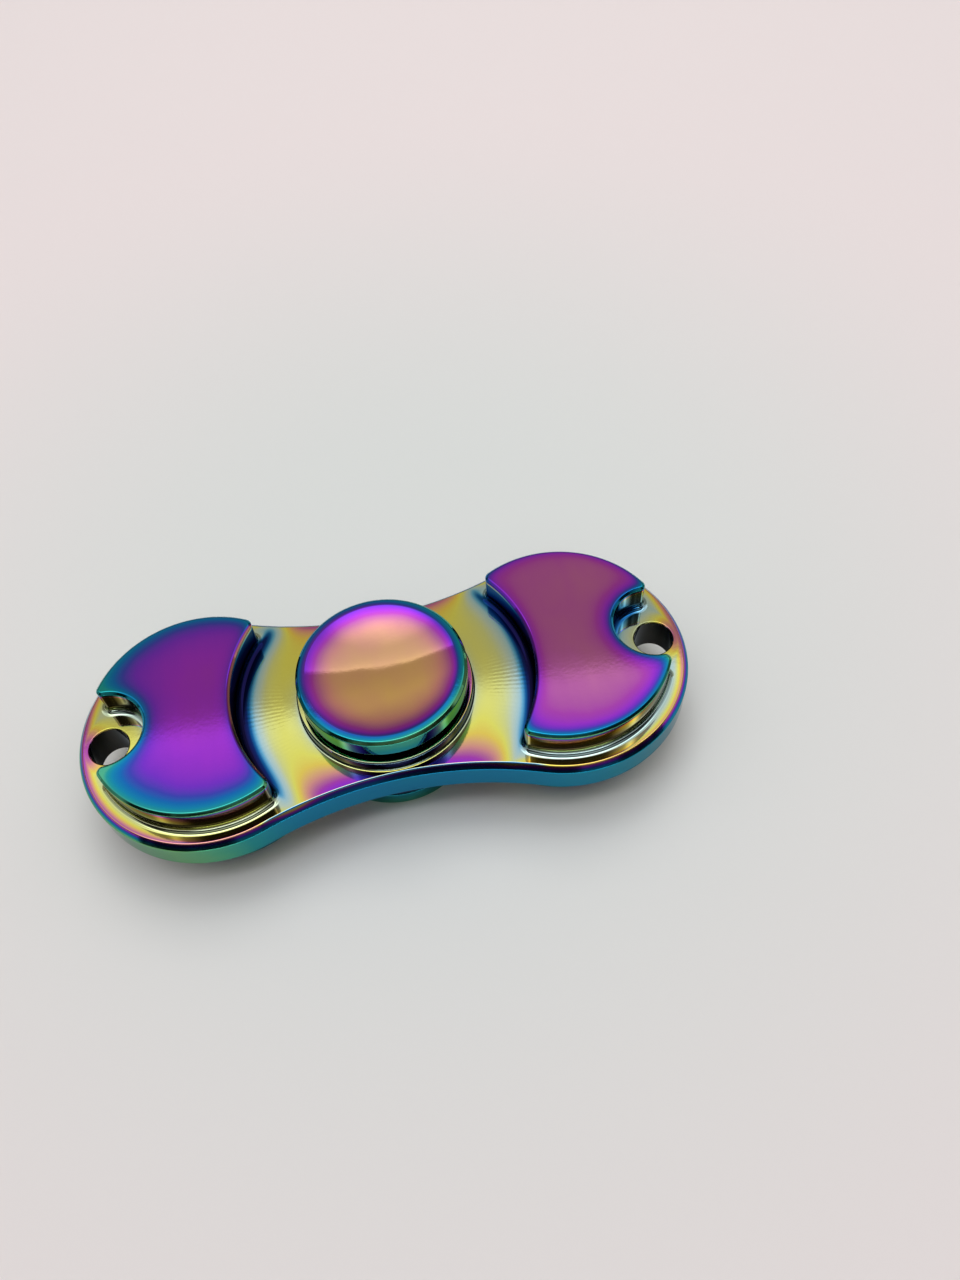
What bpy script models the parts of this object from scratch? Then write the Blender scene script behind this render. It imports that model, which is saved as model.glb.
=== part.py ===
"""Two-lobed metal fidget spinner: body, ball bearing and two screwed finger caps.

Metres, +Z up, spin axis on the world Z axis, lowest point (rim of the bottom cap) at z = 0.
Every sub-part is its own named object and sits at the level of the body's middle plane.
"""
import math

import bmesh
import bpy

MM = 0.001

# Body plate: two lobes joined by concave waists
LOBE_CENTRE_X = 19.25 * MM
LOBE_RADIUS = 13.80 * MM
WAIST_RADIUS = 41.50 * MM
PLATE_HALF_THICKNESS = 2.20 * MM
SIDE_HALF_HEIGHT = 1.50 * MM
PLATE_CHAMFER = 0.55 * MM

# Raised weights, one on each face of each lobe
PAD_CENTRE_X = 19.12 * MM
PAD_RADIUS = 11.87 * MM
PAD_INNER_RADIUS = 16.07 * MM
PAD_TOP_Z = 5.85 * MM
PAD_CORNER_RADIUS = 0.90 * MM
PAD_TIP_RADIUS = 0.70 * MM
PAD_EDGE = 0.20 * MM
PAD_FILLET = 0.65 * MM
NOTCH_CENTRE_X = 29.30 * MM
NOTCH_RADIUS = 4.20 * MM

# Holes through the lobe ends
EYE_CENTRE_X = 29.68 * MM
EYE_RADIUS = 2.10 * MM
EYE_CHAMFER = 0.12 * MM

# Round boss carrying the bearing
BOSS_RADIUS = 9.45 * MM
BOSS_FILLET = 0.22 * MM
BOSS_TOP_Z = 3.70 * MM
BOSS_CHAMFER = 0.12 * MM
SEAT_RADIUS = 6.37 * MM
SEAT_CHAMFER = 0.25 * MM

# Ball bearing
BEARING_OUTER_RADIUS = 6.35 * MM
BEARING_BORE_RADIUS = 3.175 * MM
BEARING_HALF_WIDTH = 2.38 * MM
BEARING_CHAMFER = 0.15 * MM
BALL_COUNT = 10
BALL_RADIUS = 0.79375 * MM
PITCH_RADIUS = 4.7625 * MM
RACE_CLEARANCE = 0.03 * MM
OUTER_LAND_RADIUS = 5.35 * MM
INNER_LAND_RADIUS = 4.20 * MM
SHIELD_SEAT_RADIUS = 5.80 * MM
SHIELD_SEAT_Z = 1.72 * MM
SHIELD_INNER_RADIUS = 4.30 * MM
SHIELD_OUTER_RADIUS = 5.75 * MM
SHIELD_LOW_Z = 1.76 * MM
SHIELD_HIGH_Z = 1.94 * MM
CLIP_GROOVE_RADIUS = 6.00 * MM
CLIP_GROOVE_LOW_Z = 1.97 * MM
CLIP_GROOVE_HIGH_Z = 2.20 * MM
CLIP_INNER_RADIUS = 5.45 * MM
CLIP_OUTER_RADIUS = 5.94 * MM
CLIP_LOW_Z = 2.00 * MM
CLIP_HIGH_Z = 2.17 * MM
CLIP_OPENING = math.radians(24)
CAGE_INNER_RADIUS = 4.40 * MM
CAGE_OUTER_RADIUS = 5.13 * MM
CAGE_LOW_Z = -1.35 * MM
CAGE_TOP_Z = 0.32 * MM
CAGE_POCKET_RADIUS = 0.88 * MM

# Finger caps
CAP_RADIUS = 9.00 * MM
CAP_TOP_Z = 6.97 * MM
CAP_TOP_CHAMFER = 0.34 * MM
CAP_RIM_INNER_RADIUS = 8.00 * MM
CAP_DISH_DEPTH = 0.80 * MM
CAP_UNDERSIDE_Z = 4.60 * MM
CAP_LOWER_CHAMFER = 0.25 * MM
SHOULDER_RADIUS = 3.90 * MM
SHOULDER_FILLET = 0.40 * MM
SHOULDER_Z = 2.40 * MM
SPIGOT_RADIUS = 3.15 * MM
SPIGOT_END_Z = 0.20 * MM
SCREW_RADIUS = 1.50 * MM
SCREW_END_Z = -3.60 * MM
TAPPED_RADIUS = 1.54 * MM
TAPPED_END_Z = 4.10 * MM

# Height of the body's middle plane above the lowest point
MIDDLE_Z = CAP_TOP_Z

# Facets round a full turn
ROUND_SEGMENTS = 48
BALL_SEGMENTS = 12
BALL_RINGS = 6


def clear_scene():
    for obj in list(bpy.data.objects):
        bpy.data.objects.remove(obj, do_unlink=True)


def metal(name, colour, roughness):
    material = bpy.data.materials.new(name)
    material.use_nodes = True
    shader = material.node_tree.nodes["Principled BSDF"]
    shader.inputs["Base Color"].default_value = (*colour, 1.0)
    shader.inputs["Metallic"].default_value = 1.0
    shader.inputs["Roughness"].default_value = roughness
    return material


def finish(name, bm, material, location=(0.0, 0.0, MIDDLE_Z)):
    bmesh.ops.recalc_face_normals(bm, faces=bm.faces)
    mesh = bpy.data.meshes.new(name)
    bm.to_mesh(mesh)
    bm.free()
    mesh.shade_smooth()
    mesh.set_sharp_from_angle(angle=math.radians(35))
    mesh.materials.append(material)
    return place(name, mesh, location)


def place(name, mesh, location):
    obj = bpy.data.objects.new(name, mesh)
    obj.location = location
    bpy.context.scene.collection.objects.link(obj)
    return obj


def loop(bm, points, z):
    return [bm.verts.new((x, y, z)) for x, y in points]


def band(bm, first, second):
    count = len(first)
    for i in range(count):
        j = (i + 1) % count
        bm.faces.new((first[i], first[j], second[j], second[i]))


def stack(bm, outline, levels):
    """Loft the offset outline through (offset, z) levels; return the first and last loops."""
    loops = [loop(bm, outline(offset), z) for offset, z in levels]
    for lower, upper in zip(loops, loops[1:]):
        band(bm, lower, upper)
    return loops[0], loops[-1]


def loop_edges(bm, verts):
    count = len(verts)
    return [bm.edges.get((verts[i], verts[(i + 1) % count])) for i in range(count)]


def arc(centre, radius, start, end, steps):
    """Points along an arc, the end point left to the arc that follows."""
    points = []
    for k in range(steps):
        angle = start + (end - start) * k / steps
        points.append((centre[0] + radius * math.cos(angle), centre[1] + radius * math.sin(angle)))
    return points


def direction(origin, target):
    return math.atan2(target[1] - origin[1], target[0] - origin[0])


def circle_meeting(first_x, first_radius, second_x, second_radius):
    """Upper crossing of two circles centred on the X axis."""
    gap = second_x - first_x
    along = (first_radius ** 2 - second_radius ** 2 + gap ** 2) / (2 * gap)
    return first_x + along, math.sqrt(first_radius ** 2 - along ** 2)


def half_turn(points):
    return [(-x, -y) for x, y in points]


def plate_outline(offset):
    """Lobes and waists, counter-clockwise, grown by offset."""
    waist_y = math.sqrt((LOBE_RADIUS + WAIST_RADIUS) ** 2 - LOBE_CENTRE_X ** 2)
    lobe = (LOBE_CENTRE_X, 0.0)
    waist = (0.0, waist_y)
    sweep = direction(lobe, waist)
    half = arc(lobe, LOBE_RADIUS + offset, -sweep, sweep, 36)
    half += arc(waist, WAIST_RADIUS - offset, sweep - math.pi, -sweep, 10)
    return half + half_turn(half)


def pad_outline(offset):
    """Axe-shaped weight on the +X lobe, counter-clockwise, grown by offset."""
    outer = (PAD_CENTRE_X, 0.0)
    hub = (0.0, 0.0)
    notch = (NOTCH_CENTRE_X, 0.0)
    corner = circle_meeting(0.0, PAD_INNER_RADIUS + PAD_CORNER_RADIUS,
                            PAD_CENTRE_X, PAD_RADIUS - PAD_CORNER_RADIUS)
    tip = circle_meeting(PAD_CENTRE_X, PAD_RADIUS - PAD_TIP_RADIUS,
                         NOTCH_CENTRE_X, NOTCH_RADIUS + PAD_TIP_RADIUS)
    corner_low = (corner[0], -corner[1])
    tip_low = (tip[0], -tip[1])
    to_corner = direction(outer, corner)
    to_tip = direction(outer, tip)
    notch_open = direction(notch, tip)
    hub_open = direction(hub, corner)
    points = arc(outer, PAD_RADIUS + offset, -to_corner, -to_tip, 12)
    points += arc(tip_low, PAD_TIP_RADIUS + offset, -to_tip, math.pi - notch_open, 4)
    points += arc(notch, NOTCH_RADIUS - offset, 2 * math.pi - notch_open, notch_open, 10)
    points += arc(tip, PAD_TIP_RADIUS + offset, notch_open - math.pi, to_tip, 4)
    points += arc(outer, PAD_RADIUS + offset, to_tip, to_corner, 12)
    points += arc(corner, PAD_CORNER_RADIUS + offset, to_corner, math.pi + hub_open, 4)
    points += arc(hub, PAD_INNER_RADIUS - offset, hub_open, -hub_open, 12)
    points += arc(corner_low, PAD_CORNER_RADIUS + offset, math.pi - hub_open,
                  2 * math.pi - to_corner, 4)
    return points


def pad_outline_far(offset):
    return half_turn(pad_outline(offset))


def circle_outline(centre_x, radius, segments):
    """Outline function of a circle on the X axis."""
    def outline(offset):
        return arc((centre_x, 0.0), radius + offset, 0.0, 2 * math.pi, segments)
    return outline


def fillet_levels(radius, base_z, steps):
    """Levels of a hollow fillet rising from a floor to a wall at offset zero."""
    levels = []
    for k in range(steps + 1):
        turn = math.pi / 2 * k / steps
        levels.append((radius * (1 - math.sin(turn)), base_z + radius * (1 - math.cos(turn))))
    return levels


def body_face(bm, side):
    """One face of the body; side is +1 for the upper face and -1 for the lower one."""
    def build(outline, levels):
        return stack(bm, outline, [(offset, side * z) for offset, z in levels])

    rim = build(plate_outline, [(0.0, SIDE_HALF_HEIGHT), (-PLATE_CHAMFER, PLATE_HALF_THICKNESS)])
    floor_loops = [rim[1]]
    pad_levels = fillet_levels(PAD_FILLET, PLATE_HALF_THICKNESS, 2)
    pad_levels += [(0.0, PAD_TOP_Z - PAD_EDGE), (-PAD_EDGE, PAD_TOP_Z)]
    for outline in (pad_outline, pad_outline_far):
        base, top = build(outline, pad_levels)
        bm.faces.new(top)
        floor_loops.append(base)

    boss_levels = fillet_levels(BOSS_FILLET, PLATE_HALF_THICKNESS, 2)
    boss_levels += [(0.0, BOSS_TOP_Z - BOSS_CHAMFER), (-BOSS_CHAMFER, BOSS_TOP_Z)]
    boss = build(circle_outline(0.0, BOSS_RADIUS, ROUND_SEGMENTS), boss_levels)
    seat = build(circle_outline(0.0, SEAT_RADIUS, ROUND_SEGMENTS),
                 [(SEAT_CHAMFER, BOSS_TOP_Z), (0.0, BOSS_TOP_Z - SEAT_CHAMFER)])
    band(bm, boss[1], seat[0])
    floor_loops.append(boss[0])

    open_loops = [rim[0], seat[1]]
    for centre_x in (EYE_CENTRE_X, -EYE_CENTRE_X):
        eye = build(circle_outline(centre_x, EYE_RADIUS, 24),
                    [(EYE_CHAMFER, PLATE_HALF_THICKNESS),
                     (0.0, PLATE_HALF_THICKNESS - EYE_CHAMFER)])
        floor_loops.append(eye[0])
        open_loops.append(eye[1])

    edges = [edge for verts in floor_loops for edge in loop_edges(bm, verts)]
    bmesh.ops.triangle_fill(bm, use_beauty=True, edges=edges)
    return open_loops


def make_body(material):
    bm = bmesh.new()
    upper = body_face(bm, 1)
    lower = body_face(bm, -1)
    for top_loop, bottom_loop in zip(upper, lower):
        band(bm, top_loop, bottom_loop)
    return finish("spinner_body", bm, material)


def turned_ring(name, profile, material, segments=ROUND_SEGMENTS):
    """Ring turned from a closed (radius, z) profile that stays off the axis."""
    bm = bmesh.new()
    loops = [loop(bm, circle_outline(0.0, radius, segments)(0.0), z) for radius, z in profile]
    for i, current in enumerate(loops):
        band(bm, current, loops[(i + 1) % len(loops)])
    return finish(name, bm, material)


def turned_solid(name, profile, material, segments=ROUND_SEGMENTS):
    """Solid turned from a (radius, z) profile whose two ends lie on the axis."""
    bm = bmesh.new()
    loops = [loop(bm, circle_outline(0.0, radius, segments)(0.0), z) for radius, z in profile[1:-1]]
    for current, following in zip(loops, loops[1:]):
        band(bm, current, following)
    for pole_z, end_loop in ((profile[0][1], loops[0]), (profile[-1][1], loops[-1])):
        pole = bm.verts.new((0.0, 0.0, pole_z))
        for i in range(segments):
            bm.faces.new((pole, end_loop[i], end_loop[(i + 1) % segments]))
    return finish(name, bm, material)


def race_profile(land_radius, outward, steps=6):
    """Ball groove between two lands; outward is +1 for the outer ring, -1 for the inner."""
    groove = BALL_RADIUS + RACE_CLEARANCE
    half = math.acos(abs(land_radius - PITCH_RADIUS) / groove)
    points = []
    for k in range(steps + 1):
        angle = half - 2 * half * k / steps
        points.append((PITCH_RADIUS + outward * groove * math.cos(angle), groove * math.sin(angle)))
    return points


def make_outer_ring(material):
    upper_bore = [
        (BEARING_OUTER_RADIUS, BEARING_HALF_WIDTH - BEARING_CHAMFER),
        (BEARING_OUTER_RADIUS - BEARING_CHAMFER, BEARING_HALF_WIDTH),
        (SHIELD_SEAT_RADIUS, BEARING_HALF_WIDTH),
        (SHIELD_SEAT_RADIUS, CLIP_GROOVE_HIGH_Z),
        (CLIP_GROOVE_RADIUS, CLIP_GROOVE_HIGH_Z),
        (CLIP_GROOVE_RADIUS, CLIP_GROOVE_LOW_Z),
        (SHIELD_SEAT_RADIUS, CLIP_GROOVE_LOW_Z),
        (SHIELD_SEAT_RADIUS, SHIELD_SEAT_Z),
        (OUTER_LAND_RADIUS, SHIELD_SEAT_Z),
    ]
    lower_bore = [(radius, -z) for radius, z in reversed(upper_bore)]
    profile = upper_bore + race_profile(OUTER_LAND_RADIUS, 1) + lower_bore
    return turned_ring("bearing_outer_ring", profile, material)


def make_inner_ring(material):
    upper = [
        (BEARING_BORE_RADIUS, BEARING_HALF_WIDTH - BEARING_CHAMFER),
        (BEARING_BORE_RADIUS + BEARING_CHAMFER, BEARING_HALF_WIDTH),
        (INNER_LAND_RADIUS, BEARING_HALF_WIDTH),
    ]
    lower = [(radius, -z) for radius, z in reversed(upper)]
    return turned_ring("bearing_inner_ring", upper + race_profile(INNER_LAND_RADIUS, -1) + lower, material)


def make_balls(material):
    bm = bmesh.new()
    bmesh.ops.create_uvsphere(bm, u_segments=BALL_SEGMENTS, v_segments=BALL_RINGS, radius=BALL_RADIUS)
    mesh = bpy.data.meshes.new("bearing_ball")
    bm.to_mesh(mesh)
    bm.free()
    mesh.shade_smooth()
    mesh.materials.append(material)
    for i in range(BALL_COUNT):
        angle = 2 * math.pi * i / BALL_COUNT
        centre = (PITCH_RADIUS * math.cos(angle), PITCH_RADIUS * math.sin(angle), MIDDLE_Z)
        place(f"bearing_ball_{i + 1:02d}", mesh, centre)


def cage_edge():
    """(angle, height) of the crown edge over one ball pitch, centred on a ball."""
    half_pitch = math.pi / BALL_COUNT
    pocket = CAGE_POCKET_RADIUS / PITCH_RADIUS
    steps = 8
    points = [(-half_pitch, CAGE_TOP_Z), (-pocket - 0.006, CAGE_TOP_Z)]
    for k in range(steps + 1):
        turn = math.pi * k / steps
        points.append((-pocket * math.cos(turn), -CAGE_POCKET_RADIUS * math.sin(turn)))
    points.append((pocket + 0.006, CAGE_TOP_Z))
    return points


def make_cage(material):
    columns = []
    for i in range(BALL_COUNT):
        columns += [(angle + 2 * math.pi * i / BALL_COUNT, z) for angle, z in cage_edge()]
    bm = bmesh.new()
    loops = []
    for radius, on_edge in ((CAGE_INNER_RADIUS, False), (CAGE_INNER_RADIUS, True),
                            (CAGE_OUTER_RADIUS, True), (CAGE_OUTER_RADIUS, False)):
        loops.append([bm.verts.new((radius * math.cos(angle), radius * math.sin(angle),
                                    z if on_edge else CAGE_LOW_Z)) for angle, z in columns])
    for i, current in enumerate(loops):
        band(bm, current, loops[(i + 1) % len(loops)])
    return finish("bearing_cage", bm, material)


def make_shield(name, side, material):
    profile = [
        (SHIELD_INNER_RADIUS, side * SHIELD_LOW_Z),
        (SHIELD_OUTER_RADIUS, side * SHIELD_LOW_Z),
        (SHIELD_OUTER_RADIUS, side * SHIELD_HIGH_Z),
        (SHIELD_INNER_RADIUS, side * SHIELD_HIGH_Z),
    ]
    return turned_ring(name, profile, material)


def make_clip(name, side, material):
    """Open spring ring that holds a shield in the outer ring."""
    steps = 40
    bm = bmesh.new()
    section = ((CLIP_INNER_RADIUS, CLIP_LOW_Z), (CLIP_OUTER_RADIUS, CLIP_LOW_Z),
               (CLIP_OUTER_RADIUS, CLIP_HIGH_Z), (CLIP_INNER_RADIUS, CLIP_HIGH_Z))
    sections = []
    for k in range(steps + 1):
        angle = CLIP_OPENING / 2 + (2 * math.pi - CLIP_OPENING) * k / steps
        sections.append([bm.verts.new((radius * math.cos(angle), radius * math.sin(angle), side * z))
                         for radius, z in section])
    for current, following in zip(sections, sections[1:]):
        band(bm, current, following)
    bm.faces.new(sections[0])
    bm.faces.new(sections[-1])
    return finish(name, bm, material)


def cap_face_profile(steps=6):
    """Dish, rim, side, underside and shoulder shared by both caps, axis to spigot end."""
    points = []
    for k in range(steps + 1):
        radius = CAP_RIM_INNER_RADIUS * k / steps
        points.append((radius, CAP_TOP_Z - CAP_DISH_DEPTH * (1 - (k / steps) ** 2)))
    points += [
        (CAP_RADIUS - CAP_TOP_CHAMFER, CAP_TOP_Z),
        (CAP_RADIUS, CAP_TOP_Z - CAP_TOP_CHAMFER),
        (CAP_RADIUS, CAP_UNDERSIDE_Z + CAP_LOWER_CHAMFER),
        (CAP_RADIUS - CAP_LOWER_CHAMFER, CAP_UNDERSIDE_Z),
        (SHOULDER_RADIUS + SHOULDER_FILLET, CAP_UNDERSIDE_Z),
        (SHOULDER_RADIUS, CAP_UNDERSIDE_Z - SHOULDER_FILLET),
        (SHOULDER_RADIUS, SHOULDER_Z),
        (SPIGOT_RADIUS, SHOULDER_Z),
        (SPIGOT_RADIUS, SPIGOT_END_Z + BEARING_CHAMFER),
        (SPIGOT_RADIUS - BEARING_CHAMFER, SPIGOT_END_Z),
    ]
    return points


def make_top_cap(material):
    profile = cap_face_profile() + [
        (SCREW_RADIUS, SPIGOT_END_Z),
        (SCREW_RADIUS, SCREW_END_Z + BEARING_CHAMFER),
        (SCREW_RADIUS - BEARING_CHAMFER, SCREW_END_Z),
        (0.0, SCREW_END_Z),
    ]
    return turned_solid("finger_cap_top", profile, material)


def make_bottom_cap(material):
    profile = cap_face_profile() + [
        (TAPPED_RADIUS, SPIGOT_END_Z),
        (TAPPED_RADIUS, TAPPED_END_Z),
        (0.0, TAPPED_END_Z),
    ]
    return turned_solid("finger_cap_bottom", [(radius, -z) for radius, z in profile], material)


def main():
    clear_scene()
    make_body(metal("body_plated_alloy", (0.42, 0.16, 0.52), 0.08))
    make_outer_ring(metal("outer_ring_steel", (0.60, 0.60, 0.62), 0.20))
    make_inner_ring(metal("inner_ring_steel", (0.62, 0.62, 0.64), 0.20))
    make_balls(metal("ball_steel", (0.70, 0.70, 0.72), 0.10))
    make_cage(metal("cage_steel", (0.52, 0.50, 0.46), 0.35))
    shield_material = metal("shield_steel", (0.58, 0.58, 0.60), 0.30)
    clip_material = metal("clip_steel", (0.45, 0.45, 0.47), 0.30)
    for label, side in (("top", 1), ("bottom", -1)):
        make_shield(f"bearing_shield_{label}", side, shield_material)
        make_clip(f"shield_clip_{label}", side, clip_material)
    make_top_cap(metal("top_cap_plated_alloy", (0.55, 0.36, 0.28), 0.08))
    make_bottom_cap(metal("bottom_cap_plated_alloy", (0.10, 0.40, 0.46), 0.08))


main()
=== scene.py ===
"""Looks of a two-lobed fidget spinner with a rainbow-plated body, finger caps and ball bearing."""
import math

import bmesh
import bpy
from mathutils import Matrix, Vector
from mathutils.geometry import delaunay_2d_cdt


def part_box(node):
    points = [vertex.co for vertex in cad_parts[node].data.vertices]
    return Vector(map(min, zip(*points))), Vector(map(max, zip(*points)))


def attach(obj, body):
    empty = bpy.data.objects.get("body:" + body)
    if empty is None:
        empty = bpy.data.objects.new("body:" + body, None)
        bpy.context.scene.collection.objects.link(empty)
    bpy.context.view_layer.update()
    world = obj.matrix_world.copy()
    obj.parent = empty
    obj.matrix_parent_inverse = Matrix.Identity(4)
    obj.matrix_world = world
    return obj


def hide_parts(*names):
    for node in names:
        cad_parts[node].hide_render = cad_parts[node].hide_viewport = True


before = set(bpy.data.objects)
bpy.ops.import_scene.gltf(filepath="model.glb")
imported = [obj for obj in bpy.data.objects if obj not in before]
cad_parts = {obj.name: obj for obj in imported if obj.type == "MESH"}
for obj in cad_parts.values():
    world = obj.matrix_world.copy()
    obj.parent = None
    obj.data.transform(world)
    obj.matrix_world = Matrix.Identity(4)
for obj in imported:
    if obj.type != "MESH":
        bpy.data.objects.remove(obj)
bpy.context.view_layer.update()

MM = 0.001

# Where the frame puts the parts, in millimetres
BODY_LOW, BODY_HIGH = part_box("spinner_body")
MIDDLE_Z = (BODY_LOW.z + BODY_HIGH.z) / 2 / MM
PAD_TOP_Z = (BODY_HIGH.z - BODY_LOW.z) / 2 / MM
BODY_HALF_LENGTH = (BODY_HIGH.x - BODY_LOW.x) / 2 / MM
CAP_RADIUS = (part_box("finger_cap_top")[1].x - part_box("finger_cap_top")[0].x) / 2 / MM
CAP_TOP_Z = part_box("finger_cap_top")[1].z / MM - MIDDLE_Z
BEARING_HALF_WIDTH = (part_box("bearing_outer_ring")[1].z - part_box("bearing_outer_ring")[0].z) / 2 / MM

# Body plate, millimetres from the spin axis and the middle plane
LOBE_RADIUS = (BODY_HIGH.y - BODY_LOW.y) / 2 / MM
LOBE_CENTRE_X = BODY_HALF_LENGTH - LOBE_RADIUS
WAIST_RADIUS = 41.50
WAIST_CENTRE_Y = math.sqrt((LOBE_RADIUS + WAIST_RADIUS) ** 2 - LOBE_CENTRE_X ** 2)
TANGENT_X = LOBE_CENTRE_X * WAIST_RADIUS / (LOBE_RADIUS + WAIST_RADIUS)
PLATE_HALF_THICKNESS = 2.20
SIDE_HALF_HEIGHT = 1.50
PLATE_CHAMFER = 0.55

# Raised weights
PAD_CENTRE_X = 19.12
PAD_RADIUS = 11.87
PAD_INNER_RADIUS = 16.07
PAD_CORNER_RADIUS = 0.90
PAD_TIP_RADIUS = 0.70
PAD_EDGE = 0.28
PAD_FILLET = 0.65
NOTCH_CENTRE_X = 29.30
NOTCH_RADIUS = 4.20

# Eyes, boss and bearing seat
EYE_CENTRE_X = 29.68
EYE_RADIUS = 2.10
EYE_EDGE = 0.12
BOSS_RADIUS = 9.45
BOSS_FILLET = 0.18
BOSS_TOP_Z = 3.70
BOSS_EDGE = 0.14
SEAT_RADIUS = 6.37
SEAT_CHAMFER = 0.25

# Small roundings where machined faces meet, and how far a face goes on past its rounding
EDGE_ROUNDING = 0.24
FINE_ROUNDING = 0.10
EDGE_RUN_ON = 0.53
FILLET_RUN_ON = 1.02

# Ball bearing
BEARING_OUTER_RADIUS = 6.35
BEARING_BORE_RADIUS = 3.175
BEARING_CHAMFER = 0.15
BALL_COUNT = 10
BALL_RADIUS = 0.79375
PITCH_RADIUS = 4.7625
RACE_CLEARANCE = 0.03
OUTER_LAND_RADIUS = 5.35
INNER_LAND_RADIUS = 4.20
SHIELD_SEAT_RADIUS = 5.80
SHIELD_SEAT_Z = 1.72
SHIELD_INNER_RADIUS = 4.30
SHIELD_OUTER_RADIUS = 5.75
SHIELD_LOW_Z = 1.76
SHIELD_HIGH_Z = 1.94
CLIP_GROOVE_RADIUS = 6.00
CLIP_GROOVE_LOW_Z = 1.97
CLIP_GROOVE_HIGH_Z = 2.20
CLIP_INNER_RADIUS = 5.45
CLIP_OUTER_RADIUS = 5.94
CLIP_LOW_Z = 2.00
CLIP_HIGH_Z = 2.17
CLIP_OPENING = math.radians(24)
CAGE_INNER_RADIUS = 4.40
CAGE_OUTER_RADIUS = 5.13
CAGE_LOW_Z = -1.35
CAGE_TOP_Z = 0.32
CAGE_POCKET_RADIUS = 0.88
CAGE_POCKET_LEAD = 0.006
RING_EDGE = 0.02
INNER_RING_EDGE = 0.05
SHIELD_OUTER_EDGE = 0.06
SHIELD_INNER_EDGE = 0.03
CAGE_BEVEL = 0.04
CLIP_BEVEL = 0.03

# Finger caps
CAP_TOP_CHAMFER = 0.34
CAP_RIM_INNER_RADIUS = 8.00
CAP_RIM_ROUNDING = 0.80
CAP_DISH_DEPTH = 0.80
CAP_UNDERSIDE_Z = 4.60
CAP_LOWER_CHAMFER = 0.25
SHOULDER_RADIUS = 3.90
SHOULDER_FILLET = 0.40
SHOULDER_Z = 2.40
SPIGOT_RADIUS = 3.15
SPIGOT_END_Z = 0.20
SCREW_RADIUS = 1.50
SCREW_END_Z = -3.60
TAPPED_RADIUS = 1.54
TAPPED_END_Z = 4.10

# Facets round each curve
ROUND_SEGMENTS = 192
SMALL_SEGMENTS = 96
BALL_SEGMENTS = 48
ROUNDING_STEPS = 5
LOBE_STEPS = 144
WAIST_STEPS = 40
PAD_ARC_STEPS = 48
PAD_CORNER_STEPS = 12
NOTCH_STEPS = 40
HUB_ARC_STEPS = 56
RACE_STEPS = 24
POCKET_STEPS = 24
CLIP_STEPS = 160
DISH_STEPS = 40
NORMAL_PROBE = 0.01
WELD_DISTANCE = 1e-6
SHARP_ANGLE = math.radians(50)


# ---------------------------------------------------------------- profiles

def unit(x, y):
    length = math.hypot(x, y)
    return x / length, y / length


def rounded_profile(corners, steps=ROUNDING_STEPS):
    """Levels (offset, z, normal offset, normal z) along (offset, z, radius) corners.

    A corner with a radius becomes an arc, and one without stays a point of a smooth curve.
    Normals point to the right of the direction of travel.
    """
    points = [(corner[0], corner[1]) for corner in corners]
    heading = [unit(b[0] - a[0], b[1] - a[1]) for a, b in zip(points, points[1:])]
    levels = [(*points[0], heading[0][1], -heading[0][0])]
    for i in range(1, len(points) - 1):
        before, after = heading[i - 1], heading[i]
        turn = math.atan2(before[0] * after[1] - before[1] * after[0],
                          before[0] * after[0] + before[1] * after[1])
        radius = corners[i][2]
        if radius == 0.0:
            middle = unit(before[0] + after[0], before[1] + after[1])
            levels.append((*points[i], middle[1], -middle[0]))
            continue
        side = math.copysign(1.0, turn)
        cut = radius * math.tan(abs(turn) / 2)
        start = (points[i][0] - cut * before[0], points[i][1] - cut * before[1])
        centre = (start[0] - side * radius * before[1], start[1] + side * radius * before[0])
        for k in range(steps + 1):
            angle = turn * k / steps
            along = (before[0] * math.cos(angle) - before[1] * math.sin(angle),
                     before[0] * math.sin(angle) + before[1] * math.cos(angle))
            levels.append((centre[0] + side * radius * along[1],
                           centre[1] - side * radius * along[0], along[1], -along[0]))
    levels.append((*points[-1], heading[-1][1], -heading[-1][0]))
    return levels


def solid_on_left(corners):
    """The corners ordered so that the solid lies to the left of the direction of travel."""
    area = 0.0
    for (r0, z0, _), (r1, z1, _) in zip(corners, corners[1:] + corners[:1]):
        area += r0 * z1 - r1 * z0
    return corners if area > 0.0 else corners[::-1]


def mirrored(levels, flip):
    """The same levels turned over for a lower face when flip is -1."""
    return [(offset, flip * z, out, flip * up) for offset, z, out, up in levels]


# ---------------------------------------------------------------- outlines

def arc(centre, radius, start, end, steps):
    """Points along an arc, the end point left to the arc that follows."""
    points = []
    for k in range(steps):
        angle = start + (end - start) * k / steps
        points.append((centre[0] + radius * math.cos(angle), centre[1] + radius * math.sin(angle)))
    return points


def bearing_of(origin, target):
    return math.atan2(target[1] - origin[1], target[0] - origin[0])


def circle_meeting(first_x, first_radius, second_x, second_radius):
    """Upper crossing of two circles centred on the X axis."""
    gap = second_x - first_x
    along = (first_radius ** 2 - second_radius ** 2 + gap ** 2) / (2 * gap)
    return first_x + along, math.sqrt(first_radius ** 2 - along ** 2)


def half_turn(points):
    return [(-x, -y) for x, y in points]


def plate_outline(offset):
    """Lobes and waists, counter-clockwise, grown by offset."""
    lobe = (LOBE_CENTRE_X, 0.0)
    waist = (0.0, WAIST_CENTRE_Y)
    sweep = bearing_of(lobe, waist)
    half = arc(lobe, LOBE_RADIUS + offset, -sweep, sweep, LOBE_STEPS)
    half += arc(waist, WAIST_RADIUS - offset, sweep - math.pi, -sweep, WAIST_STEPS)
    return half + half_turn(half)


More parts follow.
